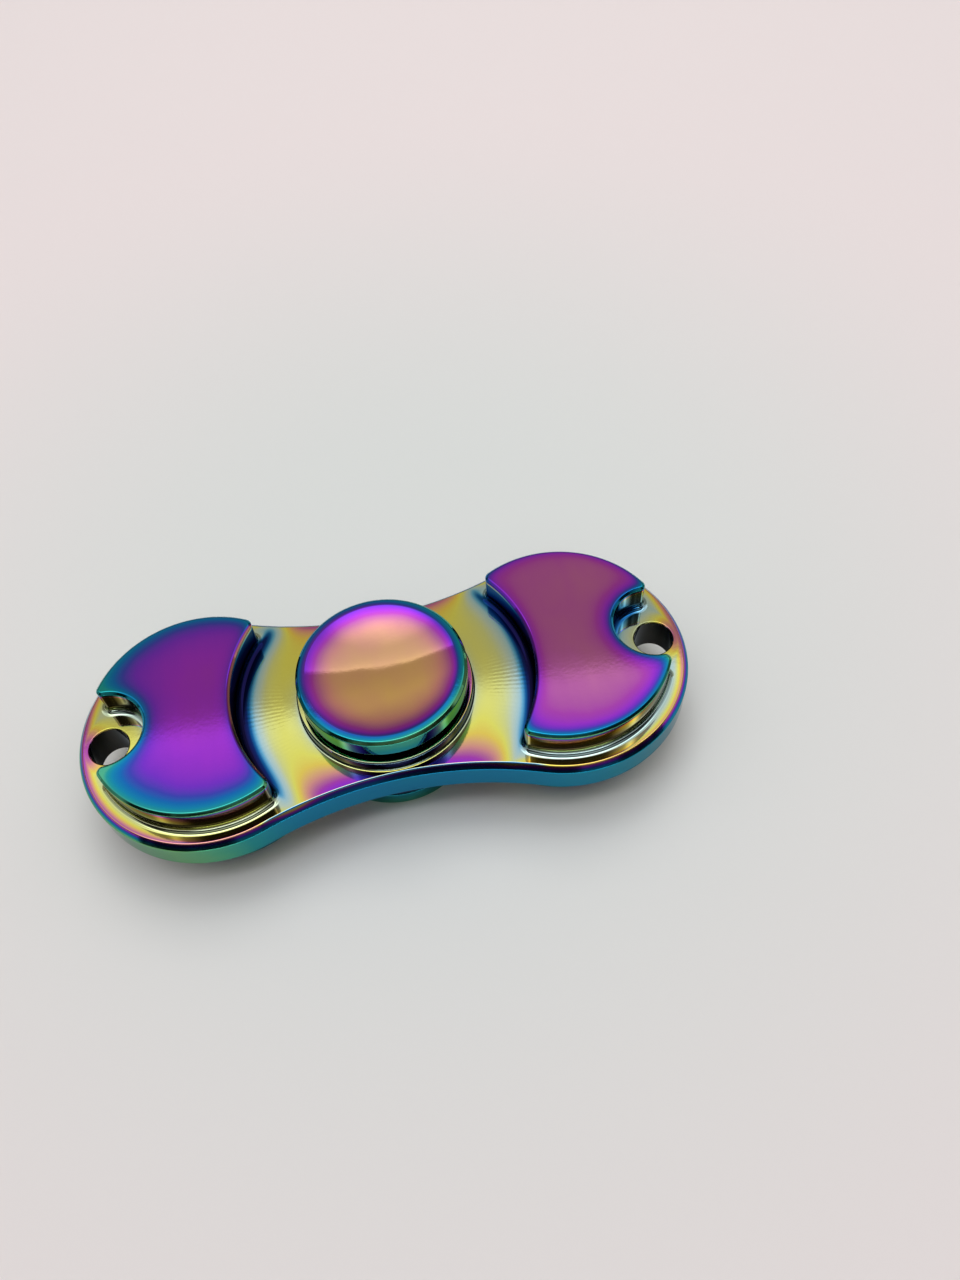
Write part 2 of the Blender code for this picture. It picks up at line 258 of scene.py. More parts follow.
def pad_outline(offset):
    """Axe-shaped weight on the +X lobe, counter-clockwise, grown by offset."""
    outer = (PAD_CENTRE_X, 0.0)
    hub = (0.0, 0.0)
    notch = (NOTCH_CENTRE_X, 0.0)
    corner = circle_meeting(0.0, PAD_INNER_RADIUS + PAD_CORNER_RADIUS,
                            PAD_CENTRE_X, PAD_RADIUS - PAD_CORNER_RADIUS)
    tip = circle_meeting(PAD_CENTRE_X, PAD_RADIUS - PAD_TIP_RADIUS,
                         NOTCH_CENTRE_X, NOTCH_RADIUS + PAD_TIP_RADIUS)
    corner_low = (corner[0], -corner[1])
    tip_low = (tip[0], -tip[1])
    to_corner = bearing_of(outer, corner)
    to_tip = bearing_of(outer, tip)
    notch_open = bearing_of(notch, tip)
    hub_open = bearing_of(hub, corner)
    grown, tight = PAD_RADIUS + offset, PAD_TIP_RADIUS + offset
    points = arc(outer, grown, -to_corner, -to_tip, PAD_ARC_STEPS)
    points += arc(tip_low, tight, -to_tip, math.pi - notch_open, PAD_CORNER_STEPS)
    points += arc(notch, NOTCH_RADIUS - offset, 2 * math.pi - notch_open, notch_open, NOTCH_STEPS)
    points += arc(tip, tight, notch_open - math.pi, to_tip, PAD_CORNER_STEPS)
    points += arc(outer, grown, to_tip, to_corner, PAD_ARC_STEPS)
    points += arc(corner, PAD_CORNER_RADIUS + offset, to_corner, math.pi + hub_open,
                  PAD_CORNER_STEPS)
    points += arc(hub, PAD_INNER_RADIUS - offset, hub_open, -hub_open, HUB_ARC_STEPS)
    points += arc(corner_low, PAD_CORNER_RADIUS + offset, math.pi - hub_open,
                  2 * math.pi - to_corner, PAD_CORNER_STEPS)
    return points


def pad_outline_far(offset):
    return half_turn(pad_outline(offset))


def circle_outline(centre_x, radius, segments):
    """Outline function of a circle on the X axis."""
    def outline(offset):
        return arc((centre_x, 0.0), radius + offset, 0.0, 2 * math.pi, segments)
    return outline


# ---------------------------------------------------------------- meshes with true normals

class Surface:
    """A mesh under construction whose vertices carry the normals of the shape they sample."""

    def __init__(self):
        self.bm = bmesh.new()
        self.normals = []

    def vertex(self, x, y, z, normal):
        self.normals.append(Vector(normal).normalized())
        return self.bm.verts.new((x, y, z))

    def ring(self, outline, level):
        """One loop of vertices: the outline at a level's offset and height."""
        offset, z, out, up = level
        here, beyond = outline(offset), outline(offset + NORMAL_PROBE)
        verts = []
        for (x, y), (far_x, far_y) in zip(here, beyond):
            push = unit(far_x - x, far_y - y)
            verts.append(self.vertex(x, y, z, (out * push[0], out * push[1], up)))
        return verts

    def band(self, first, second):
        for i, vert in enumerate(first):
            j = (i + 1) % len(first)
            self.bm.faces.new((vert, first[j], second[j], second[i]))

    def loft(self, outline, levels):
        rings = [self.ring(outline, level) for level in levels]
        for lower, upper in zip(rings, rings[1:]):
            self.band(lower, upper)
        return rings[0], rings[-1]

    def plane(self, outer, holes):
        """Triangles between an outer loop and the loops of its holes, all at one height."""
        loops = [outer] + holes
        verts = [vert for verts in loops for vert in verts]
        faces, first = [], 0
        for verts_in_loop in loops:
            faces.append(list(range(first, first + len(verts_in_loop))))
            first += len(verts_in_loop)
        places = [vert.co.xy for vert in verts]
        _, _, triangles, sources, _, owners = delaunay_2d_cdt(places, [], faces, 1, WELD_DISTANCE)
        for triangle, owner in zip(triangles, owners):
            if owner == [0]:
                self.bm.faces.new([verts[sources[corner][0]] for corner in triangle])

    def object(self, name):
        """Closes the build: outward faces, exact normals, one object at the middle plane."""
        bmesh.ops.recalc_face_normals(self.bm, faces=self.bm.faces)
        mesh = bpy.data.meshes.new(name)
        self.bm.to_mesh(mesh)
        self.bm.free()
        mesh.transform(Matrix.Scale(MM, 4))
        mesh.shade_smooth()
        mesh.normals_split_custom_set_from_vertices(self.normals)
        obj = bpy.data.objects.new(name, mesh)
        obj.location = (0.0, 0.0, MIDDLE_Z * MM)
        bpy.context.scene.collection.objects.link(obj)
        return obj


def closed_turning(name, corners, segments=ROUND_SEGMENTS):
    """Ring turned from a closed (radius, z, rounding) profile."""
    corners = solid_on_left(corners)
    start = tuple((corners[0][i] + corners[-1][i]) / 2 for i in range(2))
    levels = rounded_profile([(*start, 0.0)] + corners + [(*start, 0.0)])[:-1]
    surface = Surface()
    outline = circle_outline(0.0, 0.0, segments)
    rings = [surface.ring(outline, level) for level in levels]
    for i, current in enumerate(rings):
        surface.band(current, rings[(i + 1) % len(rings)])
    return surface.object(name)


def pole_turning(name, corners, flip=1, segments=ROUND_SEGMENTS, centre=(0.0, 0.0)):
    """Solid turned from a (radius, z, rounding) profile with both ends on the axis."""
    levels = mirrored(rounded_profile(solid_on_left(corners)), flip)
    surface = Surface()

    def outline(offset):
        return arc(centre, offset, 0.0, 2 * math.pi, segments)
    rings = [surface.ring(outline, level) for level in levels[1:-1]]
    for current, following in zip(rings, rings[1:]):
        surface.band(current, following)
    for level, ring in ((levels[0], rings[0]), (levels[-1], rings[-1])):
        pole = surface.vertex(*centre, level[1], (0.0, 0.0, math.copysign(1.0, level[3])))
        for i, vert in enumerate(ring):
            surface.bm.faces.new((pole, vert, ring[(i + 1) % segments]))
    return surface.object(name)


# ---------------------------------------------------------------- body

def body_face(surface, side):
    """One face of the body; side is +1 for the upper face and -1 for the lower one."""
    floor = PLATE_HALF_THICKNESS

    def build(outline, corners):
        return surface.loft(outline, mirrored(rounded_profile(corners), side))

    def raised(corners):
        """The corners from last to first, so that a wall listed from its top starts at its foot."""
        return corners[::-1]

    rim = build(plate_outline, raised([
        (-PLATE_CHAMFER - EDGE_RUN_ON * EDGE_ROUNDING, floor, 0.0),
        (-PLATE_CHAMFER, floor, EDGE_ROUNDING),
        (0.0, SIDE_HALF_HEIGHT, EDGE_ROUNDING),
        (0.0, SIDE_HALF_HEIGHT / 2, 0.0)]))
    holes = []

    pad_corners = raised([
        (-PAD_EDGE - EDGE_RUN_ON * EDGE_ROUNDING, PAD_TOP_Z, 0.0),
        (-PAD_EDGE, PAD_TOP_Z, EDGE_ROUNDING),
        (0.0, PAD_TOP_Z - PAD_EDGE, FINE_ROUNDING),
        (0.0, floor, PAD_FILLET),
        (PAD_FILLET * FILLET_RUN_ON, floor, 0.0)])
    for outline in (pad_outline, pad_outline_far):
        base, top = build(outline, pad_corners)
        surface.bm.faces.new(top)
        holes.append(base)

    boss = build(circle_outline(0.0, BOSS_RADIUS, ROUND_SEGMENTS), raised([
        (-BOSS_EDGE - FINE_ROUNDING, BOSS_TOP_Z, 0.0),
        (-BOSS_EDGE, BOSS_TOP_Z, FINE_ROUNDING),
        (0.0, BOSS_TOP_Z - BOSS_EDGE, FINE_ROUNDING),
        (0.0, floor, BOSS_FILLET),
        (BOSS_FILLET * FILLET_RUN_ON, floor, 0.0)]))
    seat = build(circle_outline(0.0, SEAT_RADIUS, ROUND_SEGMENTS), [
        (SEAT_CHAMFER + FINE_ROUNDING, BOSS_TOP_Z, 0.0),
        (SEAT_CHAMFER, BOSS_TOP_Z, FINE_ROUNDING),
        (0.0, BOSS_TOP_Z - SEAT_CHAMFER, FINE_ROUNDING),
        (0.0, BOSS_TOP_Z - 2 * SEAT_CHAMFER, 0.0)])
    surface.band(boss[1], seat[0])
    holes.append(boss[0])

    open_loops = [rim[0], seat[1]]
    for centre_x in (EYE_CENTRE_X, -EYE_CENTRE_X):
        eye = build(circle_outline(centre_x, EYE_RADIUS, SMALL_SEGMENTS), [
            (EYE_EDGE + FINE_ROUNDING, floor, 0.0),
            (EYE_EDGE, floor, FINE_ROUNDING),
            (0.0, floor - EYE_EDGE, FINE_ROUNDING),
            (0.0, floor - 2 * EYE_EDGE, 0.0)])
        holes.append(eye[0])
        open_loops.append(eye[1])

    surface.plane(rim[1], holes)
    return open_loops


def make_body():
    surface = Surface()
    upper = body_face(surface, 1)
    lower = body_face(surface, -1)
    for top_loop, bottom_loop in zip(upper, lower):
        surface.band(top_loop, bottom_loop)
    return surface.object("plated_body")


# ---------------------------------------------------------------- bearing

def race_corners(land_radius, outward, steps=RACE_STEPS):
    """Ball groove between two lands; outward is +1 for the outer ring, -1 for the inner."""
    groove = BALL_RADIUS + RACE_CLEARANCE
    half = math.acos(abs(land_radius - PITCH_RADIUS) / groove)
    corners = []
    for k in range(steps + 1):
        angle = half - 2 * half * k / steps
        corners.append((PITCH_RADIUS + outward * groove * math.cos(angle),
                        groove * math.sin(angle), 0.0))
    return corners


def lower_half(corners):
    return [(radius, -z, rounding) for radius, z, rounding in reversed(corners)]


def make_outer_ring():
    fine = RING_EDGE
    upper = [
        (BEARING_OUTER_RADIUS, BEARING_HALF_WIDTH, BEARING_CHAMFER),
        (SHIELD_SEAT_RADIUS, BEARING_HALF_WIDTH, fine),
        (SHIELD_SEAT_RADIUS, CLIP_GROOVE_HIGH_Z, fine),
        (CLIP_GROOVE_RADIUS, CLIP_GROOVE_HIGH_Z, fine),
        (CLIP_GROOVE_RADIUS, CLIP_GROOVE_LOW_Z, fine),
        (SHIELD_SEAT_RADIUS, CLIP_GROOVE_LOW_Z, fine),
        (SHIELD_SEAT_RADIUS, SHIELD_SEAT_Z, fine),
        (OUTER_LAND_RADIUS, SHIELD_SEAT_Z, fine),
    ]
    corners = upper + race_corners(OUTER_LAND_RADIUS, 1) + lower_half(upper)
    return closed_turning("outer_ring", corners)


def make_inner_ring():
    upper = [
        (BEARING_BORE_RADIUS, BEARING_HALF_WIDTH, BEARING_CHAMFER),
        (INNER_LAND_RADIUS, BEARING_HALF_WIDTH, INNER_RING_EDGE),
    ]
    corners = upper + race_corners(INNER_LAND_RADIUS, -1) + lower_half(upper)
    return closed_turning("inner_ring", corners)


def make_ball(number):
    angle = 2 * math.pi * (number - 1) / BALL_COUNT
    steps = BALL_SEGMENTS // 2
    corners = []
    for k in range(steps + 1):
        tilt = math.pi * k / steps
        corners.append((BALL_RADIUS * math.sin(tilt), BALL_RADIUS * math.cos(tilt), 0.0))
    obj = pole_turning(f"ball_{number:02d}", corners, segments=BALL_SEGMENTS)
    obj.location.x = PITCH_RADIUS * MM * math.cos(angle)
    obj.location.y = PITCH_RADIUS * MM * math.sin(angle)
    return obj


def cage_edge(steps=POCKET_STEPS, flat_steps=5):
    """(angle, height) of the crown edge over one ball pitch, centred on a ball."""
    half_pitch = math.pi / BALL_COUNT
    pocket = CAGE_POCKET_RADIUS / PITCH_RADIUS
    mouth = pocket + CAGE_POCKET_LEAD
    flat = half_pitch - pocket - CAGE_POCKET_LEAD
    points = []
    for k in range(flat_steps + 1):
        points.append((-half_pitch + flat * k / flat_steps, CAGE_TOP_Z))
    for k in range(steps + 1):
        turn = math.pi * k / steps
        points.append((-pocket * math.cos(turn), -CAGE_POCKET_RADIUS * math.sin(turn)))
    for k in range(flat_steps):
        points.append((mouth + flat * k / flat_steps, CAGE_TOP_Z))
    return points


def make_cage():
    """Crown cage: a thin-walled ring with an open pocket for each ball."""
    columns = []
    for i in range(BALL_COUNT):
        columns += [(angle + 2 * math.pi * i / BALL_COUNT, z) for angle, z in cage_edge()]
    bm = bmesh.new()
    rings = []
    for radius, on_edge in ((CAGE_INNER_RADIUS, False), (CAGE_INNER_RADIUS, True),
                            (CAGE_OUTER_RADIUS, True), (CAGE_OUTER_RADIUS, False)):
        rings.append([bm.verts.new((radius * MM * math.cos(angle), radius * MM * math.sin(angle),
                                    (z if on_edge else CAGE_LOW_Z) * MM)) for angle, z in columns])
    for i, current in enumerate(rings):
        following = rings[(i + 1) % len(rings)]
        for j, vert in enumerate(current):
            k = (j + 1) % len(current)
            bm.faces.new((vert, current[k], following[k], following[j]))
    return raw_object("crown_cage", bm, CAGE_BEVEL)


def make_clip(name, side):
    """Open spring ring that holds a shield in the outer ring."""
    bm = bmesh.new()
    section = ((CLIP_INNER_RADIUS, CLIP_LOW_Z), (CLIP_OUTER_RADIUS, CLIP_LOW_Z),
               (CLIP_OUTER_RADIUS, CLIP_HIGH_Z), (CLIP_INNER_RADIUS, CLIP_HIGH_Z))
    sections = []
    for k in range(CLIP_STEPS + 1):
        angle = CLIP_OPENING / 2 + (2 * math.pi - CLIP_OPENING) * k / CLIP_STEPS
        sections.append([bm.verts.new((radius * MM * math.cos(angle), radius * MM * math.sin(angle),
                                       side * z * MM)) for radius, z in section])
    for current, following in zip(sections, sections[1:]):
        for i in range(len(section)):
            j = (i + 1) % len(section)
            bm.faces.new((current[i], current[j], following[j], following[i]))
    bm.faces.new(sections[0])
    bm.faces.new(sections[-1])
    return raw_object(name, bm, CLIP_BEVEL)


def raw_object(name, bm, bevel):
    """Object with bevelled edges and face-weighted normals, for shapes that aren't lofted."""
    bmesh.ops.recalc_face_normals(bm, faces=bm.faces)
    sharp = [edge for edge in bm.edges if edge.calc_face_angle(0.0) > SHARP_ANGLE]
    bmesh.ops.bevel(bm, geom=sharp, offset=bevel * MM, offset_type="OFFSET", segments=2,
                    profile=0.5, affect="EDGES", clamp_overlap=True)
    mesh = bpy.data.meshes.new(name)
    bm.to_mesh(mesh)
    bm.free()
    mesh.shade_smooth()
    obj = bpy.data.objects.new(name, mesh)
    obj.location = (0.0, 0.0, MIDDLE_Z * MM)
    bpy.context.scene.collection.objects.link(obj)
    weighted = obj.modifiers.new("face_weighted_normals", "WEIGHTED_NORMAL")
    weighted.keep_sharp = True
    return obj


def make_shield(name, side):
    """Pressed dust shield: a flat washer with its edges rolled more on the outside."""
    corners = [
        (SHIELD_INNER_RADIUS, side * SHIELD_HIGH_Z, SHIELD_OUTER_EDGE),
        (SHIELD_OUTER_RADIUS, side * SHIELD_HIGH_Z, SHIELD_OUTER_EDGE),
        (SHIELD_OUTER_RADIUS, side * SHIELD_LOW_Z, SHIELD_INNER_EDGE),
        (SHIELD_INNER_RADIUS, side * SHIELD_LOW_Z, SHIELD_INNER_EDGE),
    ]
    return closed_turning(name, corners)


# ---------------------------------------------------------------- finger caps

def cap_corners(steps=DISH_STEPS):
    """Dish, rim, side, underside and shoulder shared by both caps, axis to spigot end."""
    corners = []
    for k in range(steps):
        radius = CAP_RIM_INNER_RADIUS * k / steps
        corners.append((radius, CAP_TOP_Z - CAP_DISH_DEPTH * (1 - (k / steps) ** 2), 0.0))
    corners += [
        (CAP_RIM_INNER_RADIUS, CAP_TOP_Z, CAP_RIM_ROUNDING),
        (CAP_RADIUS - CAP_TOP_CHAMFER, CAP_TOP_Z, EDGE_ROUNDING),
        (CAP_RADIUS, CAP_TOP_Z - CAP_TOP_CHAMFER, EDGE_ROUNDING),
        (CAP_RADIUS, CAP_UNDERSIDE_Z + CAP_LOWER_CHAMFER, FINE_ROUNDING),
        (CAP_RADIUS - CAP_LOWER_CHAMFER, CAP_UNDERSIDE_Z, FINE_ROUNDING),
        (SHOULDER_RADIUS, CAP_UNDERSIDE_Z, SHOULDER_FILLET),
        (SHOULDER_RADIUS, SHOULDER_Z, FINE_ROUNDING),
        (SPIGOT_RADIUS, SHOULDER_Z, FINE_ROUNDING),
        (SPIGOT_RADIUS, SPIGOT_END_Z, BEARING_CHAMFER),
    ]
    return corners


def make_top_cap():
    return pole_turning("plated_cap_top", cap_corners() + [
        (SCREW_RADIUS, SPIGOT_END_Z, FINE_ROUNDING),
        (SCREW_RADIUS, SCREW_END_Z, BEARING_CHAMFER),
        (0.0, SCREW_END_Z, 0.0),
    ])


def make_bottom_cap():
    return pole_turning("plated_cap_bottom", cap_corners() + [
        (TAPPED_RADIUS, SPIGOT_END_Z, FINE_ROUNDING),
        (TAPPED_RADIUS, TAPPED_END_Z, FINE_ROUNDING),
        (0.0, TAPPED_END_Z, 0.0),
    ], flip=-1)


# ---------------------------------------------------------------- shader arithmetic

class Field:
    """A number that varies over a surface, with arithmetic that builds shader nodes."""

    def __init__(self, tree, socket):
        self.tree = tree
        self.socket = socket

    def math(self, operation, *others):
        node = self.tree.nodes.new("ShaderNodeMath")
        node.operation = operation
        for i, value in enumerate((self, *others)):
            if isinstance(value, Field):
                self.tree.links.new(value.socket, node.inputs[i])
            else:
                node.inputs[i].default_value = value
        return Field(self.tree, node.outputs[0])

    def __add__(self, other):
        return self.math("ADD", other)

    def __sub__(self, other):
        return self.math("SUBTRACT", other)

    def __rsub__(self, other):
        return self.math("MULTIPLY_ADD", -1.0, other)

    def __mul__(self, other):
        return self.math("MULTIPLY", other)

    def __truediv__(self, other):
        return self.math("DIVIDE", other)

    def __neg__(self):
        return self.math("MULTIPLY", -1.0)

    def __abs__(self):
        return self.math("ABSOLUTE")

    def __pow__(self, power):
        return self.math("POWER", power)

    def exp(self):
        return self.math("EXPONENT")

    def at_least(self, low):
        return self.math("MAXIMUM", low)

    def at_most(self, high):
        return self.math("MINIMUM", high)

    def length(self, other):
        return (self * self + other * other).math("SQRT")

    def fade(self, scale, power=1.0):
        """1 at zero, falling away over a distance of about scale."""
        return (-((self.at_least(0.0) / scale) ** power)).exp()

    def rise(self, low, high):
        """Smooth step from 0 at low to 1 at high."""
        node = self.tree.nodes.new("ShaderNodeMapRange")
        node.interpolation_type = "SMOOTHSTEP"
        self.tree.links.new(self.socket, node.inputs["Value"])
        node.inputs["From Min"].default_value = low
        node.inputs["From Max"].default_value = high
        return Field(self.tree, node.outputs["Result"])

    def mix(self, other, share):
        """This field where share is 0 and the other where share is 1."""
        return (other - self) * share + self if isinstance(other, Field) else \
            (self - other) * (1.0 - share) + other


def components(tree, socket, scale=1.0):
    """The x, y and z fields of a vector socket."""
    scaled = tree.nodes.new("ShaderNodeVectorMath")
    scaled.operation = "SCALE"
    scaled.inputs["Scale"].default_value = scale
    tree.links.new(socket, scaled.inputs[0])
    split = tree.nodes.new("ShaderNodeSeparateXYZ")
    tree.links.new(scaled.outputs[0], split.inputs[0])
    return [Field(tree, output) for output in split.outputs]


def noise(tree, vector, scale, detail=2.0, stretch=(1.0, 1.0, 1.0)):
    """Noise field from 0 to 1 in object space, scale per metre."""
    mapping = tree.nodes.new("ShaderNodeMapping")
    mapping.inputs["Scale"].default_value = stretch
    tree.links.new(vector, mapping.inputs["Vector"])
    node = tree.nodes.new("ShaderNodeTexNoise")
    node.inputs["Scale"].default_value = scale
    node.inputs["Detail"].default_value = detail
    tree.links.new(mapping.outputs[0], node.inputs["Vector"])
    return Field(tree, node.outputs["Fac"])


def ramp(tree, field, stops):
    node = tree.nodes.new("ShaderNodeValToRGB")
    elements = node.color_ramp.elements
    while len(elements) < len(stops):
        elements.new(0.5)
    for element, (position, colour) in zip(elements, stops):
        element.position = position
        element.color = (*colour, 1.0)
    tree.links.new(field.socket, node.inputs["Fac"])
    return node.outputs["Color"]


def new_material(name):
    material = bpy.data.materials.new(name)
    material.use_nodes = True
    tree = material.node_tree
    shader = tree.nodes["Principled BSDF"]
    coordinates = tree.nodes.new("ShaderNodeTexCoord").outputs["Object"]
    return material, tree, shader, coordinates


def bump(tree, shader, height, distance, strength=1.0):
    node = tree.nodes.new("ShaderNodeBump")
    node.inputs["Strength"].default_value = strength
    node.inputs["Distance"].default_value = distance
    tree.links.new(height.socket, node.inputs["Height"])
    tree.links.new(node.outputs["Normal"], shader.inputs["Normal"])


# ---------------------------------------------------------------- interference plating

# Reflectance of the plating as its film grows thicker
FILM_COLOURS = (
    (0.00, (0.010, 0.008, 0.055)),
    (0.06, (0.006, 0.020, 0.120)),
    (0.11, (0.010, 0.120, 0.330)),
    (0.16, (0.120, 0.380, 0.580)),
    (0.21, (0.360, 0.550, 0.600)),
    (0.27, (0.500, 0.600, 0.480)),
    (0.32, (0.620, 0.640, 0.250)),
    (0.37, (0.740, 0.700, 0.130)),
    (0.42, (0.770, 0.570, 0.100)),
    (0.47, (0.710, 0.410, 0.180)),
    (0.52, (0.640, 0.270, 0.240)),
    (0.57, (0.480, 0.150, 0.300)),
    (0.62, (0.390, 0.055, 0.400)),
    (0.67, (0.320, 0.036, 0.550)),
    (0.72, (0.180, 0.035, 0.530)),
    (0.77, (0.050, 0.060, 0.420)),
    (0.82, (0.012, 0.140, 0.430)),
    (0.88, (0.010, 0.230, 0.400)),
    (0.93, (0.020, 0.300, 0.300)),
    (0.97, (0.090, 0.430, 0.240)),
    (1.00, (0.200, 0.500, 0.200)),
)
# Near-black colour: bare metal on the caps' hidden spigots, and painted shade in the body's eyes and on
# its weights' walls
DARK_BARE_AND_SHADE = (0.052, 0.050, 0.046, 1.0)
GRAZING_TINT = (0.66, 0.70, 0.74, 1.0)

# Film thickness of each region of the body and caps, on the scale of FILM_COLOURS
FLOOR_FILM = 0.37
BESIDE_PAD_FILM = 0.29
PAD_TOP_FILM = 0.622
PAD_BRINK_FILM = 0.92
PAD_CHAMFER_FILM = 0.52
PAD_WALL_FILM = 0.47
NOTCH_WALL_FILM = 0.25
HUB_WALL_FILM = 0.10
BOSS_TOP_FILM = 0.33
SIDE_FILM = 0.875
RIM_LINE_FILM = 0.12
DISH_FILM = 0.475
CAP_SIDE_FILM = 0.95

# Colour sockets of a mix node
MIX_FIRST, MIX_SECOND, MIX_RESULT = 6, 7, 2

# The plating's polish, the depth of its bumps in metres, and noise scales per metre
BODY_POLISH = 0.04
CAP_POLISH = 0.025
PLATING_BUMP = 0.0000012
STEEL_BUMP = 0.000002
CLOUD_SCALE = 160.0
STREAK_SCALE = 900.0
FINE_SCALE = 2600.0
STEEL_CLOUD_SCALE = 700.0
RIPPLE_COUNT = 170.0


def plated_material(name, thickness_of, bare_and_shade_of, ripples_of, polish):
    """Mirror-polished plating whose colour follows the film thickness at each point, with a near-black
    colour mixed in for bare metal and for painted shade.
    """
    material, tree, shader, coordinates = new_material(name)
    x, y, z = components(tree, coordinates, 1.0 / MM)
    cloud = noise(tree, coordinates, CLOUD_SCALE)
    streak = noise(tree, coordinates, STREAK_SCALE, stretch=(1.0, 0.15, 1.0))
    ripples = ripples_of(x, y, z)
    thickness = thickness_of(x, y, z)
    thickness = thickness + (cloud - 0.5) * 0.030 + (streak - 0.5) * 0.010 + ripples * 0.003
    # Near-black mix: bare metal on the caps' spigots, painted shade in the body's eyes and on its
    # weights' walls
    blend = tree.nodes.new("ShaderNodeMix")
    blend.data_type = "RGBA"
    tree.links.new(bare_and_shade_of(x, y, z).socket, blend.inputs["Factor"])
    tree.links.new(ramp(tree, thickness, FILM_COLOURS), blend.inputs[MIX_FIRST])
    blend.inputs[MIX_SECOND].default_value = DARK_BARE_AND_SHADE
    tree.links.new(blend.outputs[MIX_RESULT], shader.inputs["Base Color"])
    shader.inputs["Metallic"].default_value = 1.0
    shader.inputs["Specular Tint"].default_value = GRAZING_TINT
    roughness = streak * 0.03 + cloud * 0.03 + polish
    tree.links.new(roughness.socket, shader.inputs["Roughness"])
    fine = noise(tree, coordinates, FINE_SCALE, detail=3.0)
    bump(tree, shader, fine + cloud * 4.0 + ripples, PLATING_BUMP)
    return material


def body_thickness(x, y, z):
    """Film thickness over the body: thin in the recesses and thick at exposed edges, with the boss's
    wall taken to near-black film as painted shade under the cap.
    """
    # Distances from the parts' edges, and shares that tell one region from another
    across = abs(x)
    height = abs(z)
    radius = x.length(y)
    to_right = x.rise(-4.0, 4.0)
    from_outer_arc = PAD_RADIUS - (across - PAD_CENTRE_X).length(y)
    from_hub_arc = radius - PAD_INNER_RADIUS
    from_notch = (across - NOTCH_CENTRE_X).length(y) - NOTCH_RADIUS
    from_lobe_edge = LOBE_RADIUS - (across - LOBE_CENTRE_X).length(y)
    from_waist_edge = x.length(abs(y) - WAIST_CENTRE_Y) - WAIST_RADIUS
    on_lobe = across.rise(TANGENT_X - 1.0, TANGENT_X + 1.0)
    from_edge = from_waist_edge.mix(from_lobe_edge, on_lobe)

    # Floor: gold, warmer along the plate's edge, pale and blue beside the weights
    waist_reach = y * -0.08 + 2.0
    at_waist = (from_edge / waist_reach).fade(1.0, 1.4) * 0.32 + from_edge.fade(4.0) * 0.08
    lobe_reach = (-((y / 4.5) ** 2.0)).exp() * 1.2 + y * -0.010 + 0.80
    lobe_reach = lobe_reach - to_right * y.rise(2.0, 6.0) * 0.12
    lobe_reach = lobe_reach + (1.0 - to_right) * (-y).rise(3.0, 9.0) * 0.35
    at_lobe = (from_edge / lobe_reach).fade(1.0, 2.2) * 0.38
    at_edge = at_waist.mix(at_lobe, across.rise(TANGENT_X - 2.5, TANGENT_X + 2.0))
    floor = at_edge * radius.rise(BOSS_RADIUS, BOSS_RADIUS + 0.4) + FLOOR_FILM
    floor = floor - on_lobe * to_right * 0.05
    to_arc = abs(from_hub_arc)
    left_arc = to_arc.fade(1.8, 2.0) * 0.30 + to_arc.fade(2.8, 1.5) * 0.12
    right_arc = to_arc.fade(1.3, 1.5) * 0.22 + to_arc.fade(3.1, 1.5) * 0.18
    floor = floor - left_arc.mix(right_arc, to_right)
    from_pad = (-from_outer_arc).math("MAXIMUM", -from_notch)
    beside_pad = from_pad.fade(1.1, 2.0) * from_hub_arc.rise(-0.5, 0.5)
    floor = floor.mix(to_right * -0.06 + BESIDE_PAD_FILM, beside_pad)
    in_notch = (1.0 - across.rise(28.0, 30.5)) * (1.0 - from_notch.rise(0.0, 0.4))
    floor = floor - (-from_notch).fade(1.4, 1.4) * in_notch * (to_right * 0.12 + 0.04)
    floor = floor - (radius - BOSS_RADIUS).fade(0.8) * 0.10
    # Painted shade: the boss's wall under the cap goes to the thinnest, near-black film
    shaded_boss_wall = height.rise(2.3, 2.5) * (1.0 - radius.rise(BOSS_RADIUS + 0.02, BOSS_RADIUS + 0.10))
    floor = floor - shaded_boss_wall * (1.0 - height.rise(BOSS_TOP_Z - 0.2, BOSS_TOP_Z - 0.1)) * 0.30

    # Tops of the weights: purple, turning blue and teal towards their edges
    centre = x * -0.0020 + PAD_TOP_FILM
    reach = x * -0.023 + y * -0.025 + x.rise(22.0, 28.0) * 0.14 + 1.10
    reach = reach * (1.0 - to_right * (-y).rise(8.5, 10.5) * 0.15)
    top = (from_outer_arc / reach).fade(1.0) + from_hub_arc.fade(0.5) * 0.5 + from_notch.fade(0.85)
    brink = y * -0.004 + PAD_BRINK_FILM
    top = centre + (brink - centre) * top.at_most(1.0) + (from_outer_arc / 3.2).fade(1.0) * 0.03
    hub_chamfer = (1.0 - from_hub_arc.rise(0.10, 0.32)) * (1.0 - to_right)
    top = top.mix(PAD_CHAMFER_FILM, hub_chamfer)

    # Walls of the weights, and the boss
    wall_foot = height.rise(PLATE_HALF_THICKNESS + 0.3, PLATE_HALF_THICKNESS + 1.2)
    wall_foot = wall_foot * radius.rise(BOSS_RADIUS + 0.5, BOSS_RADIUS + 1.0)
    wall_top = height.rise(PAD_TOP_Z - 3.0 * PAD_EDGE, PAD_TOP_Z - PAD_EDGE)
    blots = (x * 1.3 + y * 0.7).math("SINE") + (x * -0.5 + y * 1.7 + z * 0.9).math("SINE")
    wall = blots * 0.015 + PAD_WALL_FILM
    notch_side = (1.0 - from_notch.rise(0.1, 0.4)) * to_right
    wall = wall.mix(NOTCH_WALL_FILM, notch_side)
    wall = wall.mix(HUB_WALL_FILM, 1.0 - from_hub_arc.rise(0.1, 0.4))
    face = floor.mix(wall, wall_foot).mix(top, wall_top)
    boss_top = (1.0 - radius.rise(BOSS_RADIUS - 0.2, BOSS_RADIUS - 0.1)) * height.rise(3.3, 3.5)
    face = face.mix(x.rise(5.0, 9.0) * 0.26 + BOSS_TOP_FILM, boss_top)

